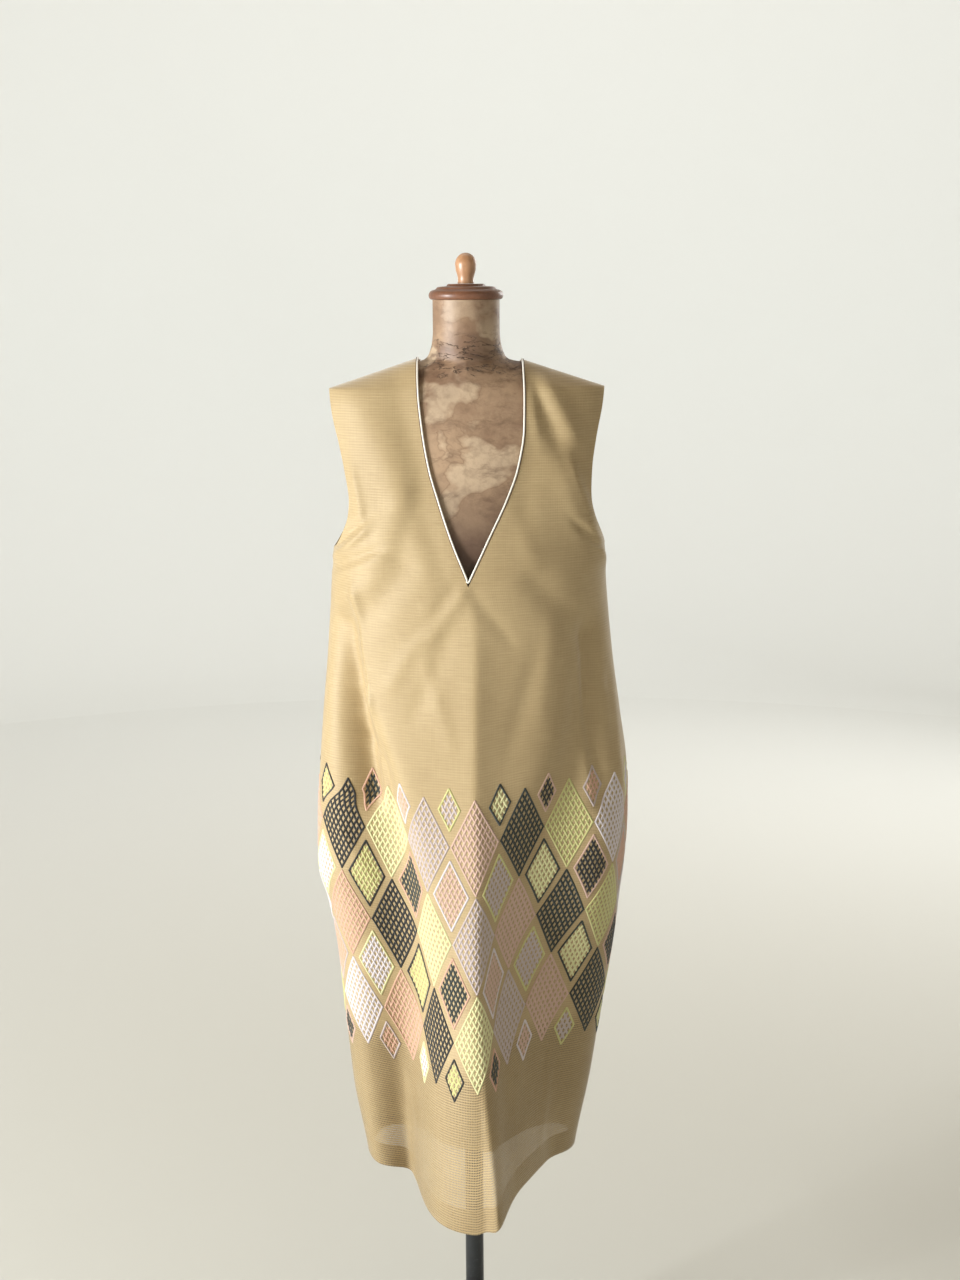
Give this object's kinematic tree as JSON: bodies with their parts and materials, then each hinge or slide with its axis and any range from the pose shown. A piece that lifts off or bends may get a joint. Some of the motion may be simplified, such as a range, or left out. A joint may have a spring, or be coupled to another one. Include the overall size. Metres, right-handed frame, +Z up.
{
  "type": "v-neck dress on a limbless dress form with stand",
  "caption": "Loose sleeveless v-neck dress with a piped neck, embroidered skirt and dipping sheer hem, hanging on a limbless dress form with a wooden knob, on a pole with a round base.",
  "frame": {"origin": "centre of the base's underside, on the floor under the pole's axis", "axes": "+Z up the pole, -Y towards the front of the dress, +X to the right as the front is seen"},
  "size_m": [0.4697, 0.3625, 1.765],
  "materials": {
    "dress_cloth": "fine ribbed weave with a soft sheen",
    "piping_cord": "smooth satin cord",
    "lining_cloth": "plain, thin, matt weave",
    "form_skin": "mottled, stained papier-mache",
    "cap_wood": "dark turned wood, old varnish",
    "knob_wood": "light turned wood, worn",
    "pole_steel": "dark grey, satin",
    "stand_iron": "dark grey, matt"
  },
  "bodies": {
    "root": {"dress_front": "dress_cloth", "dress_back": "dress_cloth", "neck_piping": "piping_cord", "lining": "lining_cloth", "form_torso": "form_skin", "neck_cap": "cap_wood", "knob": "knob_wood", "pole": "pole_steel", "base": "stand_iron", "base_collar": "stand_iron", "pole_socket": "stand_iron"}
  },
  "joints": []
}
